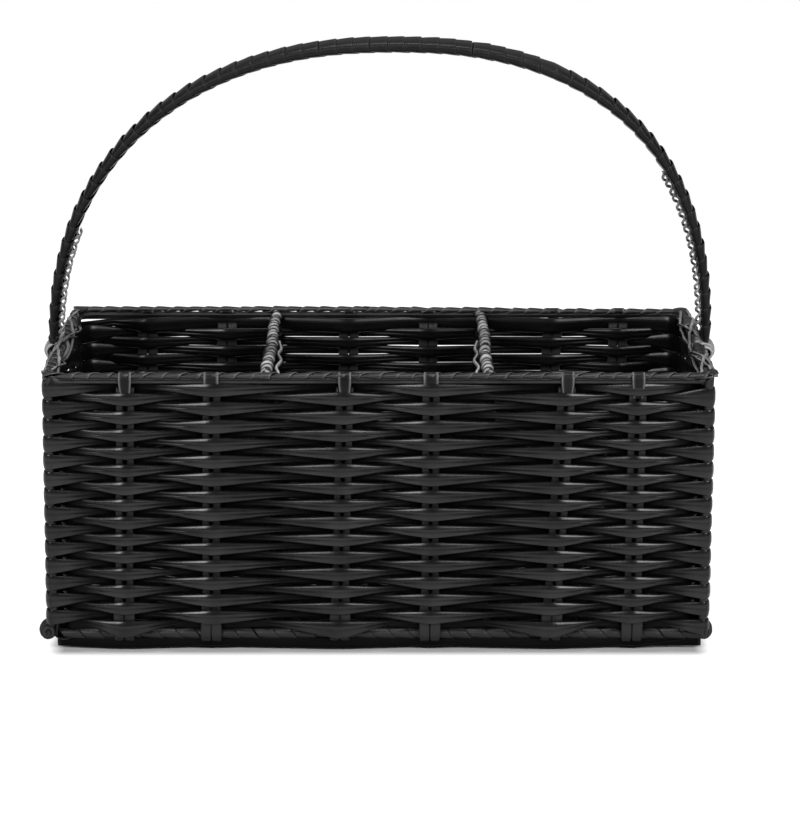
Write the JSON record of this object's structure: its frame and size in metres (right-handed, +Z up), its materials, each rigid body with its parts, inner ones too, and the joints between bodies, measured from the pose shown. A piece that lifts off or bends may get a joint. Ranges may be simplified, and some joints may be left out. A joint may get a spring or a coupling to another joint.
{
  "type": "woven cutlery caddy",
  "caption": "Black woven cutlery caddy on a wire frame, with compartments side by side, a wrapped rim and a fixed arched carrying handle.",
  "frame": {"origin": "under the middle of the base, on the surface that the caddy stands on", "axes": "+X along the caddy's length to the right, +Y from front to back, +Z up"},
  "size_m": [0.329, 0.1462, 0.2895],
  "materials": {
    "woven_strip": "black plastic weaving strip, grooved along its length, satin gloss",
    "stake_wrap": "steel rods wrapped in black plastic strip, satin gloss",
    "rim_wrap": "black plastic strip wound round the rim and base wires, satin gloss",
    "handle_wrap": "black plastic strip wound in overlapping turns round both handle wires",
    "frame_wire": "black painted steel wire, hidden under the wrapping"
  },
  "bodies": {
    "root": {"weaver_row_01": "woven_strip", "weaver_row_02": "woven_strip", "weaver_row_03": "woven_strip", "weaver_row_04": "woven_strip", "weaver_row_05": "woven_strip", "weaver_row_06": "woven_strip", "weaver_row_07": "woven_strip", "weaver_row_08": "woven_strip", "weaver_row_09": "woven_strip", "weaver_row_10": "woven_strip", "weaver_row_11": "woven_strip", "weaver_row_12": "woven_strip", "weaver_row_13": "woven_strip", "weaver_row_14": "woven_strip", "weaver_row_15": "woven_strip", "weaver_row_16": "woven_strip", "weaver_row_17": "woven_strip", "weaver_row_18": "woven_strip", "weaver_row_19": "woven_strip", "weaver_row_20": "woven_strip", "weaver_row_21": "woven_strip", "weaver_row_22": "woven_strip", "weaver_row_23": "woven_strip", "weaver_row_24": "woven_strip", "weaver_row_25": "woven_strip", "weaver_row_26": "woven_strip", "weaver_row_27": "woven_strip", "weaver_row_28": "woven_strip", "divider_left_weaver": "woven_strip", "divider_right_weaver": "woven_strip", "base_weaver": "woven_strip", "cross_stake_1": "stake_wrap", "cross_stake_2": "stake_wrap", "cross_stake_3": "stake_wrap", "cross_stake_4": "stake_wrap", "cross_stake_5": "stake_wrap", "cross_stake_6": "stake_wrap", "end_stake_left_front": "stake_wrap", "end_stake_left_back": "stake_wrap", "end_stake_right_front": "stake_wrap", "end_stake_right_back": "stake_wrap", "corner_post_front_left": "stake_wrap", "corner_post_back_left": "stake_wrap", "corner_post_front_right": "stake_wrap", "corner_post_back_right": "stake_wrap", "divider_left_frame": "stake_wrap", "divider_right_frame": "stake_wrap", "base_bar_left": "stake_wrap", "base_bar_right": "stake_wrap", "rim_wrap_front": "rim_wrap", "rim_wrap_right": "rim_wrap", "rim_wrap_back": "rim_wrap", "rim_wrap_left": "rim_wrap", "base_wire": "rim_wrap", "handle_wrap": "handle_wrap", "rim_wire": "frame_wire", "handle_wire_front": "frame_wire", "handle_wire_back": "frame_wire"}
  },
  "joints": []
}
